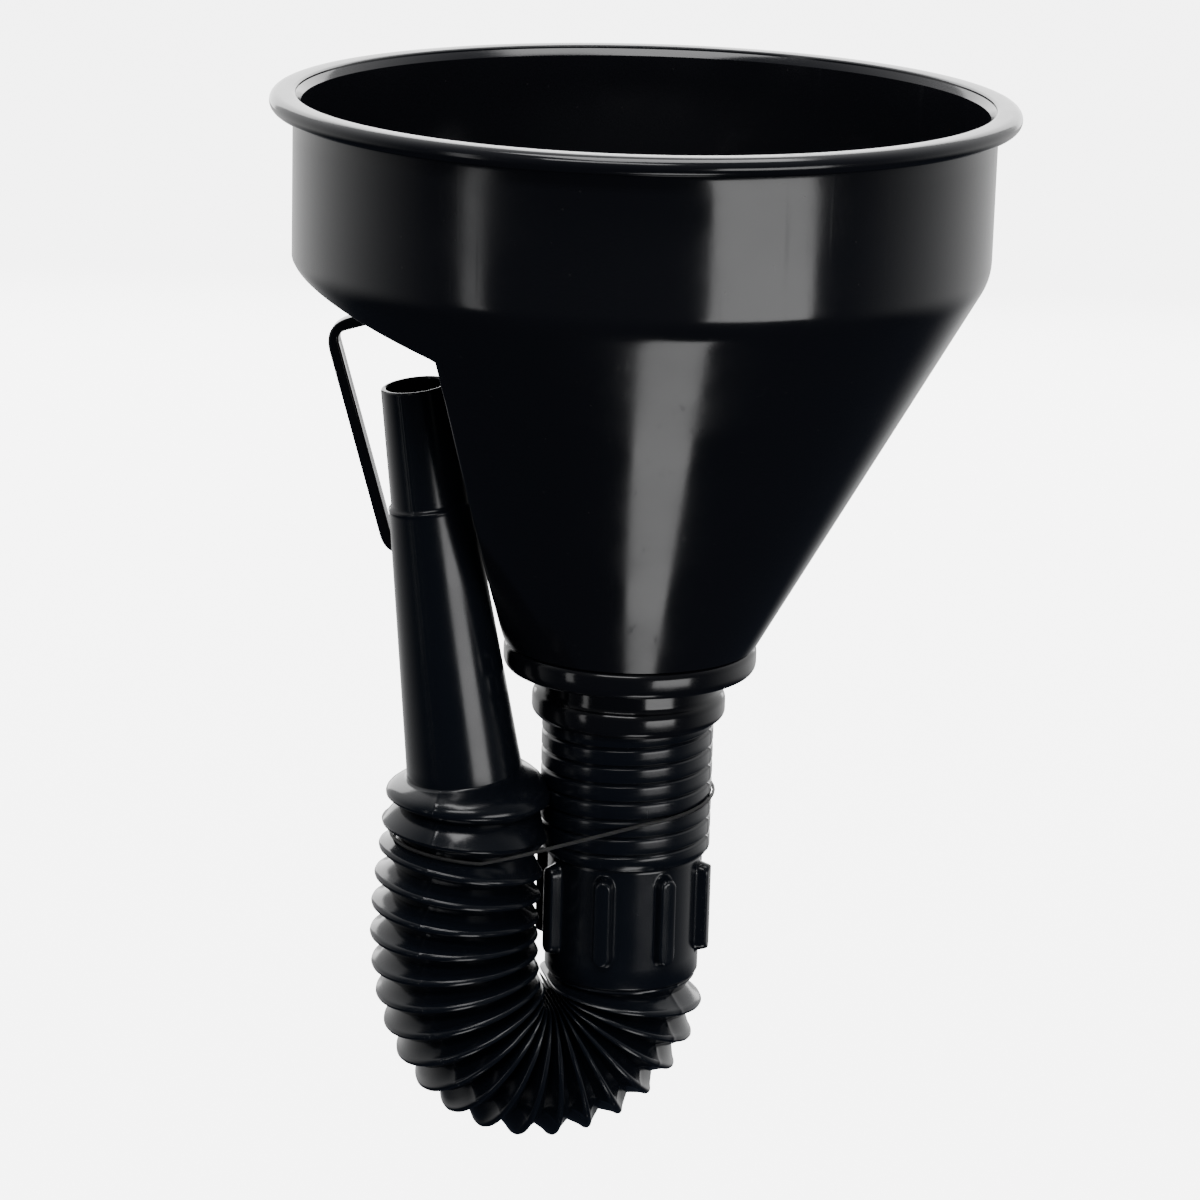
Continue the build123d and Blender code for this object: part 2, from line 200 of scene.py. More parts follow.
def black_plastic(name, colour, rough_low, rough_high, grain, dust):
    """Polished black plastic: uneven gloss, faint mould ripple, hairline scratches and dust."""
    material = bpy.data.materials.new(name)
    nodes, links, shader = nodes_of(material)
    place = nodes.new("ShaderNodeTexCoord")
    cloud = nodes.new("ShaderNodeTexNoise")
    cloud.inputs["Scale"].default_value = 38
    cloud.inputs["Detail"].default_value = 6
    links.new(place.outputs["Object"], cloud.inputs["Vector"])

    fine = nodes.new("ShaderNodeTexNoise")
    fine.inputs["Scale"].default_value = 900
    fine.inputs["Detail"].default_value = 3
    links.new(place.outputs["Object"], fine.inputs["Vector"])

    stretch = nodes.new("ShaderNodeMapping")
    stretch.inputs["Scale"].default_value = (420, 420, 16)
    stretch.inputs["Rotation"].default_value = (0.35, 0.2, 0.0)
    links.new(place.outputs["Object"], stretch.inputs["Vector"])
    scratch = nodes.new("ShaderNodeTexNoise")
    scratch.inputs["Scale"].default_value = 1.0
    scratch.inputs["Detail"].default_value = 2
    links.new(stretch.outputs["Vector"], scratch.inputs["Vector"])
    scratch_ramp = nodes.new("ShaderNodeValToRGB")
    scratch_ramp.color_ramp.elements[0].position = 0.66
    scratch_ramp.color_ramp.elements[1].position = 0.74
    links.new(scratch.outputs["Fac"], scratch_ramp.inputs["Fac"])

    speck = nodes.new("ShaderNodeTexVoronoi")
    speck.inputs["Scale"].default_value = 210
    links.new(place.outputs["Object"], speck.inputs["Vector"])
    speck_ramp = nodes.new("ShaderNodeValToRGB")
    speck_ramp.color_ramp.elements[0].position = 0.035
    speck_ramp.color_ramp.elements[0].color = (1, 1, 1, 1)
    speck_ramp.color_ramp.elements[1].position = 0.06
    speck_ramp.color_ramp.elements[1].color = (0, 0, 0, 1)
    links.new(speck.outputs["Distance"], speck_ramp.inputs["Fac"])

    dusty = nodes.new("ShaderNodeMath")
    dusty.operation = "MULTIPLY"
    dusty.inputs[1].default_value = dust
    links.new(speck_ramp.outputs["Color"], dusty.inputs[0])

    tint = nodes.new("ShaderNodeMix")
    tint.data_type = "RGBA"
    tint.inputs["A"].default_value = (*colour, 1)
    tint.inputs["B"].default_value = (0.22, 0.21, 0.20, 1)
    links.new(dusty.outputs["Value"], tint.inputs["Factor"])
    links.new(tint.outputs["Result"], shader.inputs["Base Color"])

    gloss = nodes.new("ShaderNodeMapRange")
    gloss.inputs["From Min"].default_value = 0.35
    gloss.inputs["From Max"].default_value = 0.68
    gloss.inputs["To Min"].default_value = rough_low
    gloss.inputs["To Max"].default_value = rough_high
    links.new(cloud.outputs["Fac"], gloss.inputs["Value"])
    scuffed = nodes.new("ShaderNodeMath")
    scuffed.operation = "MULTIPLY_ADD"
    scuffed.inputs[1].default_value = 0.07
    links.new(scratch_ramp.outputs["Color"], scuffed.inputs[0])
    links.new(gloss.outputs["Result"], scuffed.inputs[2])
    links.new(scuffed.outputs["Value"], shader.inputs["Roughness"])

    ripple = nodes.new("ShaderNodeBump")
    ripple.inputs["Strength"].default_value = 0.05
    ripple.inputs["Distance"].default_value = 0.0006
    links.new(cloud.outputs["Fac"], ripple.inputs["Height"])
    skin = nodes.new("ShaderNodeBump")
    skin.inputs["Strength"].default_value = grain
    skin.inputs["Distance"].default_value = 0.00004
    links.new(fine.outputs["Fac"], skin.inputs["Height"])
    links.new(ripple.outputs["Normal"], skin.inputs["Normal"])
    links.new(skin.outputs["Normal"], shader.inputs["Normal"])
    set_socket(shader, "IOR", 1.5)
    return material


def brass_wire():
    material = bpy.data.materials.new("gauze_brass")
    nodes, links, shader = nodes_of(material)
    place = nodes.new("ShaderNodeTexCoord")
    stain = nodes.new("ShaderNodeTexNoise")
    stain.inputs["Scale"].default_value = 160
    stain.inputs["Detail"].default_value = 5
    links.new(place.outputs["Object"], stain.inputs["Vector"])
    ramp = nodes.new("ShaderNodeValToRGB")
    ramp.color_ramp.elements[0].color = (0.38, 0.24, 0.09, 1)
    ramp.color_ramp.elements[0].position = 0.35
    ramp.color_ramp.elements[1].color = (0.78, 0.57, 0.27, 1)
    ramp.color_ramp.elements[1].position = 0.62
    links.new(stain.outputs["Fac"], ramp.inputs["Fac"])
    links.new(ramp.outputs["Color"], shader.inputs["Base Color"])
    set_socket(shader, "Metallic", 1.0)
    set_socket(shader, "Roughness", 0.32)
    return material


def band_rubber():
    material = bpy.data.materials.new("band_rubber")
    nodes, links, shader = nodes_of(material)
    place = nodes.new("ShaderNodeTexCoord")
    powder = nodes.new("ShaderNodeTexNoise")
    powder.inputs["Scale"].default_value = 500
    powder.inputs["Detail"].default_value = 4
    links.new(place.outputs["Object"], powder.inputs["Vector"])
    ramp = nodes.new("ShaderNodeValToRGB")
    ramp.color_ramp.elements[0].color = (0.010, 0.010, 0.010, 1)
    ramp.color_ramp.elements[1].color = (0.045, 0.045, 0.044, 1)
    links.new(powder.outputs["Fac"], ramp.inputs["Fac"])
    links.new(ramp.outputs["Color"], shader.inputs["Base Color"])
    bump = nodes.new("ShaderNodeBump")
    bump.inputs["Strength"].default_value = 0.25
    bump.inputs["Distance"].default_value = 0.00008
    links.new(powder.outputs["Fac"], bump.inputs["Height"])
    links.new(bump.outputs["Normal"], shader.inputs["Normal"])
    set_socket(shader, "Roughness", 0.55)
    return material


FUNNEL = black_plastic("funnel_plastic", (0.0075, 0.0080, 0.0105), 0.10, 0.20, 0.10, 0.05)
SPOUT = black_plastic("spout_plastic", (0.0060, 0.0080, 0.0125), 0.13, 0.25, 0.16, 0.04)
FRAME_PLASTIC = black_plastic("strainer_frame", (0.012, 0.012, 0.013), 0.38, 0.5, 0.3, 0.04)
BRASS = brass_wire()
RUBBER = band_rubber()


# ---- bowl -------------------------------------------------------------------------------------

def cone_radius(z, wall_r, foot_r):
    return wall_r + (foot_r - wall_r) * (z - WALL_END_Z) / (FOOT_Z - WALL_END_Z)


def recess_depth(z):
    return RECESS_TOP + (RECESS_END - RECESS_TOP) * (z - LEDGE_Z) / (FOOT_Z - LEDGE_Z)


def ledge_height(depth, inset):
    """Height of the climbing ledge at this distance outwards from the axis."""
    root = LEDGE_Z + inset * (1 - LEDGE_SLOPE / 2)
    return root + LEDGE_SLOPE * (depth - RECESS_TOP + inset)


def ledge_edge(turn, wall_r, foot_r, inset):
    """(radius, height) where the ledge comes out to the cone, or to the straight wall."""
    widening = (foot_r - wall_r) / (FOOT_Z - WALL_END_Z)
    at_axis = ledge_height(0, inset) - WALL_END_Z
    radius = (wall_r + widening * at_axis) / (1 - widening * LEDGE_SLOPE * math.cos(turn))
    radius = min(radius, wall_r)
    return (radius, ledge_height(radius * math.cos(turn), inset))


def crossing_height(turn, wall_r, foot_r, inset, ledge):
    """Where the leaning recess wall comes back out to the cone, at this turn from its middle."""
    low, high = FOOT_Z, ledge
    def wall_inside(z):
        return (recess_depth(z) - inset) / math.cos(turn) < cone_radius(z, wall_r, foot_r)
    if wall_inside(low):
        return low
    for _ in range(40):
        middle = (low + high) / 2
        if wall_inside(middle):
            high = middle
        else:
            low = middle
    return high


def spread(start, end, count):
    start, end = np.array(start), np.array(end)
    return [start + (end - start) * i / (count - 1) for i in range(count)]


def bowl_column(turn, wall_r, foot_r, inset, limit):
    """Wall and cone below the rim at one turn from the recess, as (radius, height) points."""
    root_z = ledge_height(RECESS_TOP - inset, inset)
    edge = (cone_radius(root_z, wall_r, foot_r), root_z)
    if abs(turn) < limit:
        edge = ledge_edge(turn, wall_r, foot_r, inset)
    foot = (foot_r, FOOT_Z)
    wall_end = (wall_r, max(WALL_END_Z, edge[1]))
    top = (wall_r, -RIM_H - 1.2 * MM)
    if abs(turn) >= limit:
        points = round_corners([top, wall_end, edge], [3.2 * MM])
        return spread(top, points[1], 8)[:-1] + points[1:-1] + spread(points[-2], edge, 7)[1:], \
            spread(edge, foot, 30)
    cross_z = crossing_height(turn, wall_r, foot_r, inset, root_z)
    root = ((RECESS_TOP - inset) / math.cos(turn), root_z)
    cross = ((recess_depth(cross_z) - inset) / math.cos(turn), cross_z)
    foot = (min(foot_r, cross[0]) if cross_z <= FOOT_Z + 1e-6 else foot_r, FOOT_Z)
    upper = round_corners([top, wall_end, edge], [3.2 * MM])
    above = spread(top, upper[1], 8)[:-1] + upper[1:-1] + spread(upper[-2], edge, 7)[1:]
    corner = round_corners([above[-2], edge, root, cross, foot], [1.1 * MM, 1.8 * MM, 4.5 * MM], 6)
    notch = corner[1:8] + spread(corner[7], corner[8], 5)[1:-1] + corner[8:15] \
        + spread(corner[14], corner[15], 16)[1:-1] + corner[15:22]
    below = spread(corner[21], foot, 30)
    return above[:-1], notch + below[1:]


def recess_limit(wall_r, foot_r, inset):
    root_z = ledge_height(RECESS_TOP - inset, inset)
    return math.acos((RECESS_TOP - inset) / cone_radius(root_z, wall_r, foot_r))


def bowl_turns(limits):
    """Turns from the recess's middle, evenly spaced, with the recess's own ends among them."""
    even = [math.radians(a) for a in np.arange(-180, 180, 1.25)]
    exact = [sign * limit for limit in limits for sign in (-1, 1)]
    exact += [sign * (limit - math.radians(0.25)) for limit in limits for sign in (-1, 1)]
    kept = [a for a in even if min(abs(a - e) for e in exact) > math.radians(0.4)]
    return sorted(kept + exact)


def skin(wall_r, foot_r, inset, turns):
    """One skin of the bowl below the rim: a list of columns of points, all of one length."""
    limit = recess_limit(wall_r, foot_r, inset)
    columns = []
    for turn in turns:
        above, below = bowl_column(turn, wall_r, foot_r, inset, limit - 1e-9)
        columns.append((turn, above, below))
    tall = max(len(above) + len(below) for _, above, below in columns)
    padded = []
    for turn, above, below in columns:
        missing = tall - len(above) - len(below)
        if missing and abs(turn) >= limit - 1e-9:
            above = above[:-1] if np.allclose(above[-1], below[0]) else above
            missing = tall - len(above) - len(below)
        filler = [below[0]] * missing
        padded.append((turn, above + filler + below))
    return padded


def place_at(turn, point):
    azimuth = RECESS_AZIMUTH + turn
    return (point[0] * math.cos(azimuth), point[0] * math.sin(azimuth), point[1])


def rim_outline():
    """From the inner lip over the bead to its root on the wall."""
    half = RIM_H / 2
    crown = 0.12 * MM
    points = [(RIM_LIP_R + 0.05 * MM, -0.75 * MM), (RIM_LIP_R + 0.12 * MM, -0.35 * MM),
              (RIM_LIP_R + 0.4 * MM, -0.14 * MM), (RIM_LIP_R + 0.9 * MM, -0.05 * MM),
              (RIM_R - half - 1.2 * MM, -crown * 0.1)]
    for i in range(13):
        angle = math.pi / 2 - math.pi * i / 12
        points.append((RIM_R - half + half * math.cos(angle), -half + half * math.sin(angle)))
    points += [(WALL_R + 1.3 * MM, -RIM_H + 0.03 * MM), (WALL_R + 0.55 * MM, -RIM_H - 0.06 * MM),
               (WALL_R + 0.16 * MM, -RIM_H - 0.42 * MM)]
    return points


def bowl():
    """Rim, wall and cone in one closed shell, with the hand recess on the handle's side."""
    inner_wall = WALL_R - WALL_T
    inner_foot = FLANGE_R - 2 * MM
    limits = (recess_limit(WALL_R, FLANGE_R, 0), recess_limit(inner_wall, inner_foot, WALL_T))
    turns = bowl_turns(limits)
    outside = skin(WALL_R, FLANGE_R, 0, turns)
    inside = skin(inner_wall, inner_foot, WALL_T, turns)
    rim = rim_outline()
    inner_lip = [(inner_wall + 0.12 * MM, -2.2 * MM), (inner_wall + 0.75 * MM, -1.3 * MM)]
    vertices = []
    for (turn, outer), (_, inner) in zip(outside, inside):
        loop = rim + outer + inner[::-1] + inner_lip
        vertices += [place_at(turn, point) for point in loop]
    rows = len(vertices) // len(turns)
    piece = new_piece("bowl_shell", vertices, grid_faces(len(turns), rows, True, True), FUNNEL,
                      "funnel", 32)
    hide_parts("bowl")


# ---- handle -----------------------------------------------------------------------------------

def handle():
    """A flat strap bent round three corners, sunk into the ledge and the recess wall."""
    width = 4.8 * MM
    sunk = 0.9 * MM
    lean = (103.6 - 97.2) / (54.2 - 26.0)
    end_u = recess_depth(-0.0975) - sunk
    end_z = -103.6 * MM + (54.2 * MM - end_u) * lean
    outer = [(43.5, -44.56), (68.7, -52.2), (54.2, -103.6)]
    inner = [(39.5, -46.0), (65.6, -53.9), (52.45, -100.65)]
    outer = [(u * MM, z * MM) for u, z in outer] + [(end_u, end_z)]
    inner = [(u * MM, z * MM) for u, z in inner] + [(end_u, end_z + 2.55 * MM)]
    outer = round_corners(outer, [6.2 * MM, 5.2 * MM], 12)
    inner = round_corners(inner, [2.2 * MM, 2.6 * MM], 12)
    out_dir = Vector((math.cos(RECESS_AZIMUTH), math.sin(RECESS_AZIMUTH), 0))
    side = Vector((-out_dir.y, out_dir.x, 0))
    vertices = []
    for far, near in zip(outer, inner):
        far3 = out_dir * far[0] + UP * far[1]
        near3 = out_dir * near[0] + UP * near[1]
        across = far3 - near3
        thick = across.length
        across = across.normalized()
        ring = rounded_rectangle(width, thick, 0.5 * MM)
        ring_size = len(ring)
        centre = (far3 + near3) / 2
        vertices += [centre + side * a + across * b for a, b in ring]
    columns = len(outer)
    faces = grid_faces(columns, ring_size, False, True)
    faces.append(tuple(range(ring_size)))
    faces.append(tuple(range((columns - 1) * ring_size, columns * ring_size))[::-1])
    piece = new_piece("handle_strap", vertices, faces, FUNNEL, "funnel", 35)
    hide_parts("handle")


def rounded_rectangle(width, height, radius, steps=4):
    ring = []
    for corner in range(4):
        sign_x = 1 if corner in (0, 3) else -1
        sign_y = 1 if corner in (0, 1) else -1
        for i in range(steps + 1):
            angle = math.pi / 2 * (corner + i / steps)
            ring.append((sign_x * (width / 2 - radius) + radius * math.cos(angle),
                         sign_y * (height / 2 - radius) + radius * math.sin(angle)))
    return ring


# ---- neck of the funnel -----------------------------------------------------------------------

def closed_round(points, radii, steps=4):
    """A closed outline with each corner rounded by its own radius."""
    looped = [points[-1]] + points + [points[0]]
    rounded = round_corners(looped, radii, steps)
    return rounded[1:-1]


def neck_flange():
    seat = 16.6 * MM
    outline = [(21.0 * MM, FOOT_Z), (FLANGE_R, FOOT_Z), (FLANGE_R, FLANGE_Z),
               (seat, FLANGE_Z), (seat, FLANGE_Z + 2 * MM)]
    radii = [0.1 * MM, 2.3 * MM, 2.3 * MM, 0.2 * MM, 0.3 * MM]
    piece = lathe("flange_bead", closed_round(outline, radii, 7), FUNNEL, "funnel")
    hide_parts("neck_flange")


def spout_socket():
    bore = THREAD_R + 0.25 * MM
    body_r = SOCKET_R - 1.1 * MM
    bulge_z = SOCKET_Z + 6.4 * MM
    outline = [(bore, FLANGE_Z + 0.4 * MM), (body_r, FLANGE_Z + 0.4 * MM), (body_r, bulge_z),
               (SOCKET_R, bulge_z - 1.5 * MM), (SOCKET_R, SOCKET_Z + 1.2 * MM),
               (SOCKET_R - 1.3 * MM, SOCKET_Z), (bore, SOCKET_Z)]
    radii = [0.1 * MM, 0.1 * MM, 1.6 * MM, 1.4 * MM, 1.4 * MM, 0.8 * MM, 0.3 * MM]
    piece = lathe("socket_collar", closed_round(outline, radii, 5), FUNNEL, "funnel")
    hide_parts("spout_socket")


# ---- strainer ---------------------------------------------------------------------------------

def strainer_ring():
    inner = 20.5 * MM
    outline = [(inner, FOOT_Z), (STRAINER_R, FOOT_Z), (STRAINER_R, STRAINER_TOP_Z),
               (inner, STRAINER_TOP_Z)]
    piece = lathe("strainer_frame", closed_round(outline, [0.5 * MM] * 4, 4), FRAME_PLASTIC,
                  "strainer")
    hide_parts("strainer_ring")


def strainer_gauze():
    """Two crossing sets of wires, each waving over and under the other, dished in the middle."""
    reach = 21.0 * MM
    pitch = 1.25 * MM
    wire_r = 0.14 * MM
    level = (FOOT_Z + STRAINER_TOP_Z) / 2
    sides = 5
    vertices, faces = [], []
    count = int(reach / pitch)
    for family in range(2):
        for index in range(-count, count + 1):
            offset = index * pitch
            half = math.sqrt(max(reach * reach - offset * offset, 0))
            steps = max(int(2 * half / (pitch / 2.5)), 4)
            first = len(vertices)
            for step in range(steps + 1):
                run = -half + 2 * half * step / steps
                wave = wire_r * math.cos(math.pi * (run / pitch + index + family))
                radius = math.hypot(run, offset)
                dish = -2.0 * MM * smooth_step(1 - radius / reach)
                for side in range(sides):
                    angle = 2 * math.pi * side / sides
                    across = offset + wire_r * math.cos(angle)
                    height = level + dish + wave + wire_r * math.sin(angle)
                    flat = (run, across) if family == 0 else (across, run)
                    vertices.append((flat[0], flat[1], height))
            faces += [tuple(first + i for i in f) for f in grid_faces(steps + 1, sides, False, True)]
            faces.append(tuple(range(first, first + sides)))
            last = first + steps * sides
            faces.append(tuple(range(last, last + sides)))
    piece = new_piece("strainer_wires", vertices, faces, BRASS, "strainer", 80)
    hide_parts("strainer_gauze")


# ---- threaded neck ----------------------------------------------------------------------------

def seam_bump(angle, first, height=0.16 * MM, width=math.radians(1.3)):
    """Height of the mould's parting line, on two opposite sides."""
    away = abs((angle - first + math.pi / 2) % math.pi - math.pi / 2)
    return height * max(0.0, 1 - away / width)


def seamed_angles(count, first):
    """Evenly spaced angles with a few more round the two parting lines."""
    turn = 2 * math.pi
    even = [turn * i / count for i in range(count)]
    lines = [(first + k * math.pi) % turn for k in range(2)]
    extra = [(line + math.radians(d)) % turn for line in lines for d in (-1.3, -0.5, 0.5, 1.3)]
    kept = [a for a in even if all(abs((a - e + math.pi) % turn - math.pi) > math.radians(0.9)
                                   for e in extra)]
    return sorted(kept + extra)


def threaded_neck():
    """A right-hand single-start thread: wide lands with a narrow groove between turns."""
    seam = math.radians(-14)
    land = [(0.00, 0.0), (0.05, 0.10), (0.12, 0.84), (0.17, 0.98), (0.30, 1.0), (0.56, 1.0),
            (0.82, 0.99), (0.90, 0.88), (0.96, 0.18)]
    top, bottom = NECK_Z, GRIP_Z
    turns = int((top - bottom) / THREAD_PITCH) + 3
    angles = seamed_angles(160, seam)
    bore = THREAD_ROOT_R - SPOUT_WALL
    vertices = []
    for angle in angles:
        column = []
        for turn in range(turns):
            for share, height in land:
                z = top + THREAD_PITCH * (1 - turn - share + angle / (2 * math.pi))
                fade = smooth_step((z - bottom) / (1.2 * MM)) * smooth_step((top - z) / (1.5 * MM))
                lift = (THREAD_R - THREAD_ROOT_R - 0.02 * MM) * height * fade
                z = min(max(z, bottom), top)
                column.append((THREAD_ROOT_R + lift + seam_bump(angle, seam, 0.1 * MM), z))
        column += [(bore, bottom), (bore, top)]
        rows = len(column)
        vertices += [(r * math.cos(angle), r * math.sin(angle), z) for r, z in column]
    faces = helix_faces(len(angles), rows, len(land))
    piece = new_piece("thread", vertices, faces, SPOUT, "spout_neck", 50)
    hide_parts("spout_neck")


def helix_faces(columns, rows, shift):
    """Quads for a grid whose last column joins the first one a whole thread turn further on."""
    skin_rows = rows - 2
    faces = grid_faces(columns, rows, False, True)
    last = (columns - 1) * rows
    for r in range(skin_rows - 1 - shift):
        faces.append((last + r + shift, last + r + shift + 1, r + 1, r))
    for r in range(shift):
        faces.append((last + r, last + r + 1, 0))
    for r in range(skin_rows - 1 - shift, skin_rows - 1):
        faces.append((last + skin_rows - 1, r + 1, r))
    faces.append((last + skin_rows - 1, last + skin_rows, skin_rows, skin_rows - 1))
    faces.append((last + skin_rows, last + skin_rows + 1, skin_rows + 1, skin_rows))
    faces.append((last + skin_rows + 1, last, 0, skin_rows + 1))
    return faces


# ---- grip -------------------------------------------------------------------------------------

def spout_grip():
    """A plain drum with a turned foot and eight raised bars with round ends."""
    half_w = 2.1 * MM
    bar_top, bar_end = -170.3 * MM, -190.7 * MM
    middle_r = (GRIP_R + BAR_R) / 2
    foot = 3.2 * MM
    edges = np.array([0, 2, 3.6, 4.6, 5.2, 5.6, 6.0, 6.4, 6.8, 7.3, 8.2, 10, 13, 17, 20])
    local = sorted(set(list(edges) + list(-edges) + [22.5]))
    angles = [GRIP_BAR_FIRST + math.radians(45 * bar + a) for bar in range(GRIP_BARS)
              for a in local]
    heights = [GRIP_Z, GRIP_Z - 0.35 * MM]
    heights += list(np.linspace(bar_top + 0.9 * MM, bar_top - 3.4 * MM, 15))
    heights += list(np.linspace(bar_top - 5 * MM, bar_end + 5 * MM, 5))
    heights += list(np.linspace(bar_end + 3.4 * MM, bar_end - 0.9 * MM, 15))
    vertices = []
    for angle in angles:
        bar = round((angle - GRIP_BAR_FIRST) / math.radians(45))
        across = (angle - GRIP_BAR_FIRST - bar * math.radians(45)) * middle_r
        column = [(GRIP_R - 0.5 * MM, GRIP_Z)]
        for z in heights[1:]:
            along = max(bar_end + half_w - z, z - (bar_top - half_w), 0)
            away = math.hypot(across, along) - half_w
            lift = (BAR_R - GRIP_R - 0.03 * MM) * smooth_step(0.5 - away / (1.1 * MM))
            crown = 0.25 * MM * min(across / half_w, 1) ** 2 if lift > 0 else 0
            column.append((GRIP_R + max(lift - crown, 0), z))
        column += [(GRIP_R, GRIP_END_Z + foot + 0.5 * MM), (GRIP_R - 0.25 * MM, GRIP_END_Z + foot),
                   (GRIP_R - 0.7 * MM, GRIP_END_Z + foot - 0.5 * MM)]
        column += [(GRIP_R - 1.9 * MM, GRIP_END_Z + foot - 0.5 * MM),
                   (GRIP_R - SPOUT_WALL - 0.2 * MM, GRIP_END_Z + foot + 1 * MM),
                   (GRIP_R - SPOUT_WALL - 0.2 * MM, GRIP_Z)]
        rows = len(column)
        vertices += [(r * math.cos(angle), r * math.sin(angle), z) for r, z in column]
    piece = new_piece("grip_drum", vertices, grid_faces(len(angles), rows, True, True), SPOUT,
                      "spout_neck", 60)
    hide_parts("spout_grip")


# ---- the chain of pleats ----------------------------------------------------------------------

def fold_chain():
    """The frame at the start of each pleat and of the nozzle: (matrix, fold), folded at rest."""
    unfold = [j for j in frame["joints"] if j["name"].startswith("unfold_")]
    unfold.sort(key=lambda j: j["name"])
    axis = Vector(unfold[0]["axis"])
    valley = Vector((0, 0, GRIP_END_Z))
    chain = []
    for joint in unfold:
        hinge = Vector(joint["pos_m"])
        low, high = joint["range_deg"]
        fold = math.radians(high if abs(high) > abs(low) else low)
        out = (hinge - valley).normalized()
        turned = Matrix.Rotation(-fold, 3, axis) @ out
        along = axis.cross(turned) * -1
        origin = hinge - turned * HINGE_OFFSET
        matrix = Matrix((turned, along.cross(turned), along)).transposed().to_4x4()
        matrix.translation = origin
        chain.append((matrix, fold, hinge))
        valley = origin + along * PLEAT_PITCH
    return chain, axis


CHAIN, FOLD_AXIS = fold_chain()


def inner_reach(number):
    """How far a pleat reaches inside the fold: up to its neighbours, or to the neck and grip."""
    closing = sum(math.tan(max(CHAIN[i][1], 0) / 2) for i in (number - 1, number))
    room = PLEAT_PITCH - 0.75 * MM
    reach = 17.2 * MM if number < 13 else PLEAT_R
    if closing > 0:
        reach = min(reach, room / closing - HINGE_OFFSET)
    if number < 13:
        return reach
    matrix = CHAIN[number - 1][0]
    centre = matrix @ Vector((0, 0, PLEAT_PITCH / 2))
    out = matrix.to_3x3().col[0]
    stop = THREAD_R + 0.1 * MM if centre.z > GRIP_Z + 3 * MM else BAR_R + 0.05 * MM
    free = math.hypot(centre.x, centre.y) - stop
    return min(reach, free / max(math.hypot(out.x, out.y), 0.5))


def flattened(x, y, reach, soft=0.8 * MM):
    """The point (x, y), with x held back to -reach by a soft limit."""
    gap = reach + x
    return (-reach + 0.5 * (gap + math.sqrt(gap * gap + soft * soft)) - soft * 0.02, y)


def crest_ring(number, angles):
    """The points of one crest, and its centre; crest 0 is the grip's foot."""
    if number == 0:
        matrix = Matrix.Translation((0, 0, GRIP_END_Z + 2.75 * MM))
        axes = CHAIN[0][0].to_3x3()
        first_out = Matrix.Rotation(CHAIN[0][1], 3, FOLD_AXIS) @ axes.col[0]
        side = Matrix.Rotation(CHAIN[0][1], 3, FOLD_AXIS) @ axes.col[1]
        frame3 = Matrix((first_out, side, -UP)).transposed().to_4x4()
        matrix = matrix @ frame3
        radius, reach = GRIP_R - 0.6 * MM, GRIP_R
        lift = 0.0
    else:
        matrix = CHAIN[number - 1][0]
        radius, reach = PLEAT_R, inner_reach(number)
        lift = PLEAT_PITCH / 2
    points = []
    for angle in angles:
        grown = radius + seam_bump(angle, SEAM_ANGLE, 0.22 * MM, math.radians(2.2))
        x, y = flattened(grown * math.cos(angle), grown * math.sin(angle), reach)
        points.append(matrix @ Vector((x, y, lift)))
    centre = matrix @ Vector((0, 0, lift))
    return points, centre


def slope_profile():
    """(share of the way from crest to valley, station) with a round crest and a tight valley."""
    return [(0.0, 0.0), (0.02, 0.03), (0.055, 0.07), (0.11, 0.13), (0.2, 0.22), (0.36, 0.36),
            (0.62, 0.60), (0.84, 0.82), (0.955, 0.945), (1.0, 1.0)]


def crest_swell(share):
    """Share of the crest's rounding, which makes the crest a narrow round bead."""
    if share < 0.055:
        return math.sin(share / 0.055 * math.pi / 2)
    return 1 - smooth_step((share - 0.055) / 0.4)


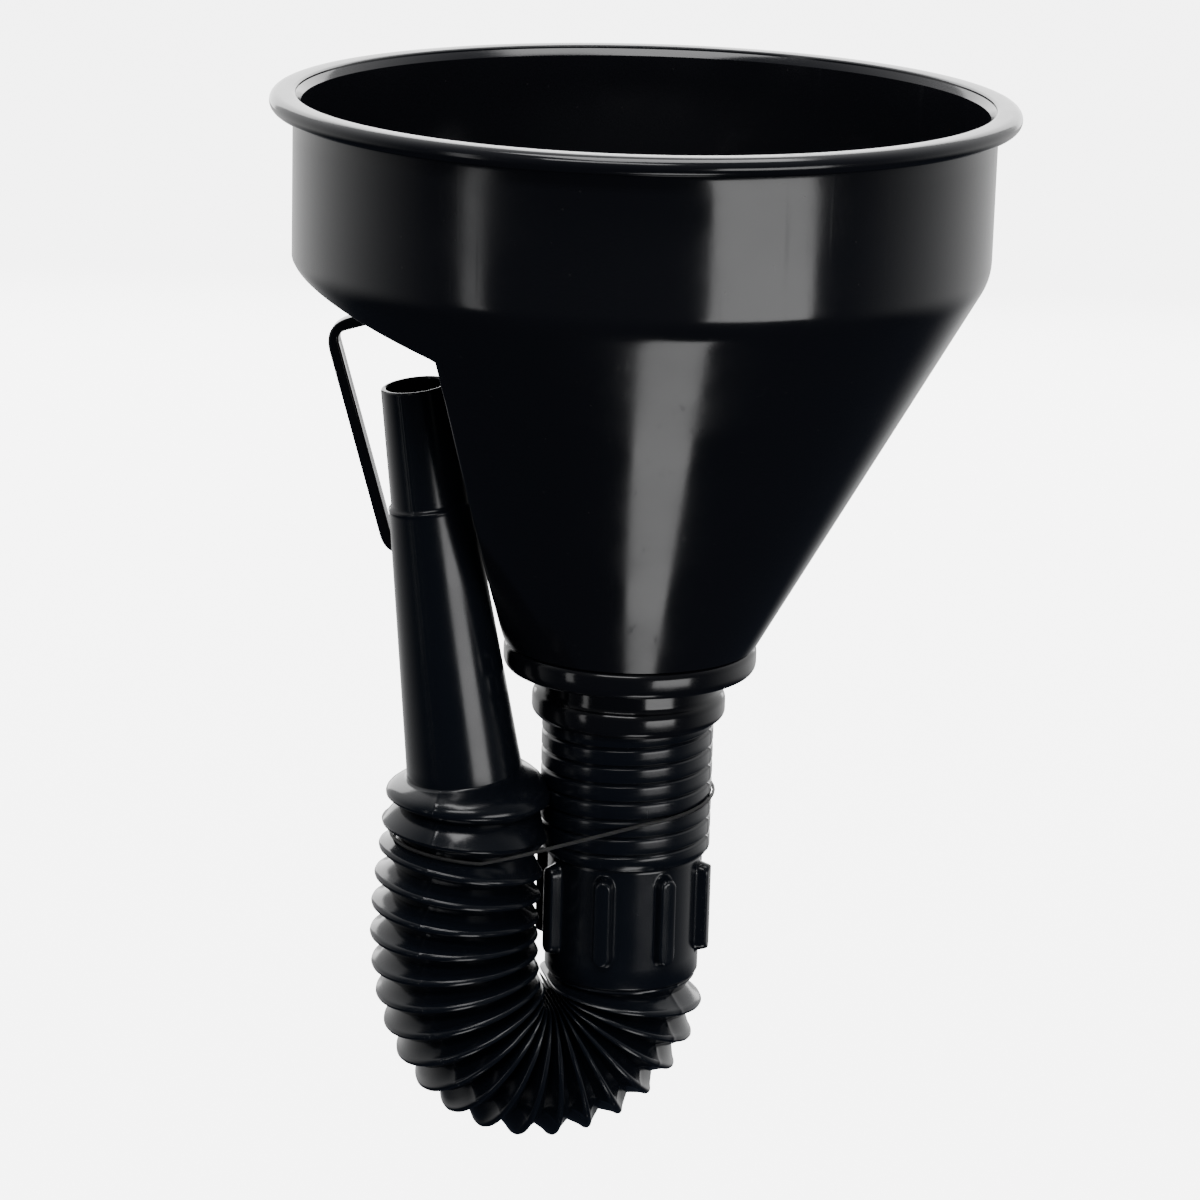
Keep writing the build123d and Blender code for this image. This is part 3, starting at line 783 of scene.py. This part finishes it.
def bellows_piece(number):
    """The stretch from one crest to the next, with its valley half-way through the fold."""
    angles = seamed_angles(132, SEAM_ANGLE)
    first, first_centre = crest_ring(number - 1, angles)
    second, second_centre = crest_ring(number, angles)
    matrix, fold, hinge = CHAIN[number - 1]
    half_back = Matrix.Rotation(fold / 2, 3, FOLD_AXIS)
    out = half_back @ matrix.to_3x3().col[0]
    side = half_back @ matrix.to_3x3().col[1]
    valley_centre = hinge - out * HINGE_OFFSET
    wall = 0.95 * MM
    shallowest = 2.4 * MM
    deepest = 2.6 * MM if number == 1 else 5.0 * MM
    slope_length = math.hypot(PLEAT_PITCH / 2, PLEAT_DEPTH)
    vertices, weights = [], []
    for a, b in zip(first, second):
        flat = (a + b) / 2 - valley_centre
        along = out.cross(side)
        flat = flat - along * flat.dot(along)
        spacing = (a - b).length / 2
        depth = math.sqrt(max(slope_length ** 2 - spacing ** 2, shallowest ** 2))
        depth = min(depth, deepest)
        valley = valley_centre + flat * max(1 - depth / flat.length, 0.3)
        column = []
        toward_b = (b - a).normalized() * min(CREST_ROUND, spacing * 0.3)
        for share, station in slope_profile():
            spot = a.lerp(valley, share) + toward_b * crest_swell(share)
            column.append((spot, 0.5 * station))
        for share, station in reversed(slope_profile()[:-1]):
            spot = b.lerp(valley, share) - toward_b * crest_swell(share)
            column.append((spot, 1 - 0.5 * station))
        inner_b = second_centre + (b - second_centre) * (1 - wall / (b - second_centre).length)
        inner_a = first_centre + (a - first_centre) * (1 - wall / (a - first_centre).length)
        inner_valley = valley_centre + (valley - valley_centre) * \
            (1 - wall / (valley - valley_centre).length)
        column += [(inner_b, 1.0), (inner_b.lerp(inner_valley, 0.5), 0.75), (inner_valley, 0.5),
                   (inner_a.lerp(inner_valley, 0.5), 0.25), (inner_a, 0.0)]
        rows = len(column)
        vertices += [point for point, _ in column]
        weights += [weight for _, weight in column]
    name = f"bellows_{number:02d}"
    faces = grid_faces(len(angles), rows, True, True)
    piece = new_piece(name, vertices, faces, SPOUT, None, 50)
    after = f"pleat_{number:02d}"
    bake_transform(piece)
    follow_stations(weights)
    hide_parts(after)


def shoulder():
    """The last fold: from the top crest through a valley and over the dome to the nozzle's foot.

    Each ring is (radius, height, share of the fold), in millimetres in the nozzle's frame.
    """
    number = len(CHAIN)
    angles = seamed_angles(132, SEAM_ANGLE)
    first, first_centre = crest_ring(number - 1, angles)
    matrix, fold, hinge = CHAIN[-1]
    rings = [(15.9, 0.9, 0.10), (15.3, 1.2, 0.13), (15.7, 1.5, 0.16), (17.9, 2.8, 0.22),
             (18.3, 3.2, 0.25), (18.35, 3.8, 0.29), (18.1, 4.5, 0.36), (17.5, 5.2, 0.46),
             (16.5, 5.9, 0.58), (15.2, 6.5, 0.72), (13.9, 6.95, 0.88), (13.1, 7.2, 0.97),
             (12.85, 7.45, 1.0), (11.3, 7.45, 1.0), (15.8, 4.6, 0.4), (14.2, 1.2, 0.13)]
    vertices, weights = [], []
    for angle, crest in zip(angles, first):
        column = [(first_centre + (crest - first_centre) * 0.955, 0.0), (crest, 0.0),
                  (crest.lerp(first_centre, 0.01), 0.01)]
        for radius, height, station in rings:
            seam = seam_bump(angle, SEAM_ANGLE, 0.16, math.radians(1.8)) if radius > 12 else 0
            grown = (radius + seam) * MM
            x, y = flattened(grown * math.cos(angle), grown * math.sin(angle), 17.4 * MM)
            spot = matrix @ Vector((x, y, height * MM))
            back = Matrix.Rotation((1 - station) * fold, 3, FOLD_AXIS)
            column.append((hinge + back @ (spot - hinge), station))
        vertices += [point for point, _ in column]
        weights += [station for _, station in column]
    rows = len(rings) + 3
    piece = new_piece("shoulder_dome", vertices, grid_faces(len(angles), rows, True, True), SPOUT,
                      None, 42)
    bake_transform(piece)
    follow_stations(weights)
    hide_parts("nozzle_shoulder")


def follow_stations(weights):
    """Puts each point's place along the piece into an array of floats; the points are not moved."""
    weights = np.array(weights, np.float32)


# ---- shoulder and nozzle ----------------------------------------------------------------------

def nozzle():
    """Rounded shoulder, long taper, a step, and the slimmer tip, in the nozzle's own frame."""
    wall = 1.2 * MM
    base_z, base_r = 7.3 * MM, 12.8 * MM
    step_z, step_r, step_h = 68.0 * MM, 9.1 * MM, 1.4 * MM
    neck_r, tip_z, tip_r = 8.5 * MM, 95.4 * MM, 7.5 * MM
    outline = [(base_r, base_z), (base_r - 0.35 * MM, base_z + 5 * MM),
               (step_r, step_z), (step_r + 0.15 * MM, step_z + 0.7 * MM),
               (neck_r, step_z + step_h), (tip_r, tip_z),
               (tip_r - wall, tip_z), (neck_r - wall, step_z + step_h), (step_r - wall, step_z),
               (base_r - wall - 0.3 * MM, base_z)]
    radii = [0.1 * MM, 2 * MM, 0.4 * MM, 0.4 * MM, 0.5 * MM, 1.3 * MM, 0.5 * MM, 1 * MM, 1 * MM,
             0.1 * MM]
    profile = closed_round(outline, radii, 4)
    matrix = CHAIN[-1][0]
    angles = seamed_angles(144, SEAM_ANGLE)
    vertices = []
    for angle in angles:
        for radius, height in profile:
            seam = seam_bump(angle, SEAM_ANGLE, 0.13 * MM, math.radians(1.5))
            grown = radius + (seam if radius > tip_r - 1e-5 else 0)
            spot = Vector((grown * math.cos(angle), grown * math.sin(angle), height))
            vertices.append(matrix @ spot)
    faces = grid_faces(len(angles), len(profile), True, True)
    piece = new_piece("nozzle_body", vertices, faces, SPOUT, "nozzle", 38)
    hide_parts("nozzle")


# ---- retaining band ---------------------------------------------------------------------------

def retaining_band():
    """A rubber band in a valley of the pleats on one side and over the thread on the other."""
    matrix, fold, hinge = CHAIN[BAND_FOLD]
    half_back = Matrix.Rotation(fold / 2, 3, FOLD_AXIS)
    out = half_back @ matrix.to_3x3().col[0]
    side = half_back @ matrix.to_3x3().col[1]
    valley = hinge - out * HINGE_OFFSET
    away = Vector((-out.x, -out.y, 0)).normalized()
    neck = Vector((0, 0, BAND_NECK_Z))
    across = Vector((-away.y, away.x, 0))
    pleat_r, neck_r, thick = 16.75 * MM, THREAD_R + 0.45 * MM, 0.42 * MM
    if across.dot(side) < 0:
        across = -across
    path = []
    for i in range(25):
        angle = math.pi * (i / 24 - 0.5)
        path.append(valley + out * pleat_r * math.cos(angle) + side * pleat_r * math.sin(angle))
    far = []
    for i in range(25):
        angle = math.pi * (i / 24 - 0.5)
        far.append(neck + (away + UP * BAND_CLIMB) * neck_r * math.cos(angle)
                   - across * neck_r * math.sin(angle))
    over_r, over_rise, over_turn = 19.4 * MM, 2.6 * MM, math.radians(118)
    over = [valley + out * over_r * math.cos(over_turn) + side * over_r * math.sin(sign * over_turn)
            + matrix.to_3x3().col[2] * over_rise for sign in (1, -1)]
    start = path[0]
    path += run_between(path[-1], over[0], 5) + [over[0]] + run_between(over[0], far[0], 9) + far
    path += run_between(far[-1], over[1], 9) + [over[1]] + run_between(over[1], start, 5)
    vertices = []
    ring = 10
    for i, point in enumerate(path):
        ahead = path[(i + 1) % len(path)] - path[i - 1]
        ahead.normalize()
        upward = (UP - ahead * UP.dot(ahead)).normalized()
        outward = ahead.cross(upward)
        for k in range(ring):
            angle = 2 * math.pi * k / ring
            vertices.append(point + outward * thick * 0.8 * math.cos(angle)
                            + upward * thick * math.sin(angle))
    piece = new_piece("rubber_band", vertices, grid_faces(len(path), ring, True, True), RUBBER,
                      "spout_neck", 60)
    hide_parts("retaining_band")
    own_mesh(piece)


def run_between(start, end, count):
    return [start.lerp(end, (i + 1) / (count + 1)) for i in range(count)]


# ---- camera, floor and light ------------------------------------------------------------------

def add_camera():
    """A long lens in front and a little above, looking down at the middle of the funnel."""
    pitch = math.radians(15.578)
    roll = math.radians(1.566)
    place = Vector((-0.0069, -0.8925, 0.1372))
    forward = Vector((0, math.cos(pitch), -math.sin(pitch)))
    right0 = Vector((1, 0, 0))
    up0 = right0.cross(forward)
    right = right0 * math.cos(roll) + up0 * math.sin(roll)
    up = up0 * math.cos(roll) - right0 * math.sin(roll)
    data = bpy.data.cameras.new("camera")
    data.lens = 126.5
    data.sensor_width = 36
    data.clip_start = 0.01
    camera = bpy.data.objects.new("camera", data)
    matrix = Matrix((right, up, -forward)).transposed().to_4x4()
    matrix.translation = place
    camera.matrix_world = matrix
    bpy.context.scene.collection.objects.link(camera)
    bpy.context.scene.camera = camera


def add_floor():
    """A wide pale floor, low enough for the spout to hang straight above it."""
    level = GRIP_END_Z - len(CHAIN) * PLEAT_PITCH - 0.11
    vertices, faces = [], []
    rings = [0.0001, 0.5, 1.5, 4.0, 9.0, 16.0]
    segments = 96
    for radius in rings:
        for i in range(segments):
            angle = 2 * math.pi * i / segments
            vertices.append((radius * math.cos(angle), radius * math.sin(angle), level))
    for r in range(len(rings) - 1):
        for i in range(segments):
            j = (i + 1) % segments
            faces.append((r * segments + i, r * segments + j, (r + 1) * segments + j,
                          (r + 1) * segments + i))
    material = bpy.data.materials.new("floor_paper")
    nodes, links, shader = nodes_of(material)
    place = nodes.new("ShaderNodeTexCoord")
    paper = nodes.new("ShaderNodeTexNoise")
    paper.inputs["Scale"].default_value = 6
    links.new(place.outputs["Object"], paper.inputs["Vector"])
    ramp = nodes.new("ShaderNodeValToRGB")
    ramp.color_ramp.elements[0].color = (0.86, 0.86, 0.86, 1)
    ramp.color_ramp.elements[1].color = (0.90, 0.90, 0.90, 1)
    links.new(paper.outputs["Fac"], ramp.inputs["Fac"])
    links.new(ramp.outputs["Color"], shader.inputs["Base Color"])
    set_socket(shader, "Roughness", 0.9)
    set_socket(shader, "Emission Color", (1, 1, 1, 1))
    set_socket(shader, "Emission Strength", 5.2)
    mesh = bpy.data.meshes.new("floor")
    mesh.from_pydata(vertices, [], faces)
    mesh.materials.append(material)
    floor = bpy.data.objects.new("floor", mesh)
    bpy.context.scene.collection.objects.link(floor)
    floor.visible_glossy = False
    floor.visible_diffuse = False
    floor.visible_shadow = False


def add_world():
    """White behind and at the sides, dark in front and below, so that the black stays black."""
    world = bpy.data.worlds.new("studio")
    bpy.context.scene.world = world
    world.use_nodes = True
    nodes, links = world.node_tree.nodes, world.node_tree.links
    nodes.clear()
    place = nodes.new("ShaderNodeTexCoord")
    parts = nodes.new("ShaderNodeSeparateXYZ")
    links.new(place.outputs["Generated"], parts.inputs["Vector"])
    ramp = nodes.new("ShaderNodeValToRGB")
    ramp.color_ramp.interpolation = "EASE"
    ramp.color_ramp.elements[0].position = 0.30
    ramp.color_ramp.elements[0].color = (0.012, 0.013, 0.015, 1)
    ramp.color_ramp.elements[1].position = 0.90
    ramp.color_ramp.elements[1].color = (1, 1, 1, 1)
    shift = nodes.new("ShaderNodeMapRange")
    shift.inputs["From Min"].default_value = -1
    links.new(parts.outputs["Y"], shift.inputs["Value"])
    links.new(shift.outputs["Result"], ramp.inputs["Fac"])
    low = nodes.new("ShaderNodeMapRange")
    low.interpolation_type = "SMOOTHSTEP"
    low.inputs["From Min"].default_value = -0.55
    low.inputs["From Max"].default_value = -0.2
    links.new(parts.outputs["Z"], low.inputs["Value"])
    sides = nodes.new("ShaderNodeMath")
    sides.operation = "MULTIPLY"
    links.new(ramp.outputs["Color"], sides.inputs[0])
    links.new(low.outputs["Result"], sides.inputs[1])
    ceiling = nodes.new("ShaderNodeMapRange")
    ceiling.interpolation_type = "SMOOTHSTEP"
    ceiling.inputs["From Min"].default_value = 0.05
    ceiling.inputs["From Max"].default_value = 0.7
    ceiling.inputs["To Max"].default_value = 0.10
    links.new(parts.outputs["Z"], ceiling.inputs["Value"])
    both = nodes.new("ShaderNodeMath")
    both.operation = "ADD"
    links.new(sides.outputs["Value"], both.inputs[0])
    links.new(ceiling.outputs["Result"], both.inputs[1])
    tint = nodes.new("ShaderNodeMix")
    tint.data_type = "RGBA"
    tint.inputs["A"].default_value = (0.016, 0.020, 0.030, 1)
    tint.inputs["B"].default_value = (1, 1, 1, 1)
    links.new(both.outputs["Value"], tint.inputs["Factor"])
    room = nodes.new("ShaderNodeBackground")
    links.new(tint.outputs["Result"], room.inputs["Color"])
    room.inputs["Strength"].default_value = 1.1
    white = nodes.new("ShaderNodeBackground")
    white.inputs["Color"].default_value = (1, 1, 1, 1)
    white.inputs["Strength"].default_value = 6.0
    ray = nodes.new("ShaderNodeLightPath")
    mix = nodes.new("ShaderNodeMixShader")
    links.new(ray.outputs["Is Camera Ray"], mix.inputs["Fac"])
    links.new(room.outputs["Background"], mix.inputs[1])
    links.new(white.outputs["Background"], mix.inputs[2])
    out = nodes.new("ShaderNodeOutputWorld")
    links.new(mix.outputs["Shader"], out.inputs["Surface"])


def add_softbox(name, place, target, size, power, colour=(1, 1, 1)):
    data = bpy.data.lights.new(name, "AREA")
    data.shape = "RECTANGLE"
    data.size, data.size_y = size
    data.energy = power
    data.color = colour
    light = bpy.data.objects.new(name, data)
    light.location = place
    light.rotation_euler = (Vector(target) - Vector(place)).to_track_quat("-Z", "Y").to_euler()
    light.visible_camera = False
    bpy.context.scene.collection.objects.link(light)


def add_lights():
    add_softbox("front_right", (0.727, -0.928, -0.27), (0, 0, -0.03), (0.72, 0.42), 4.2)
    add_softbox("front_high", (-0.25, -1.15, 0.95), (0, 0, -0.15), (0.9, 0.3), 5)
    add_softbox("front_left", (-1.05, -0.75, -0.1), (0, 0, -0.15), (0.16, 0.8), 0.7)
    add_softbox("overhead", (0.1, -0.2, 1.5), (0, 0, -0.1), (1.4, 1.0), 30)
    add_softbox("back", (0.0, 1.8, 0.4), (0, 0, -0.1), (2.2, 1.4), 30)
    add_softbox("low_card", (0.12, -0.35, -0.9), (0, 0, -0.1), (0.25, 0.3), 0.8)


# ---- build ------------------------------------------------------------------------------------

bowl()
handle()
neck_flange()
spout_socket()
strainer_ring()
strainer_gauze()
threaded_neck()
spout_grip()
for number in range(1, len(CHAIN)):
    bellows_piece(number)
shoulder()
nozzle()
retaining_band()
add_camera()
add_floor()
add_world()
add_lights()
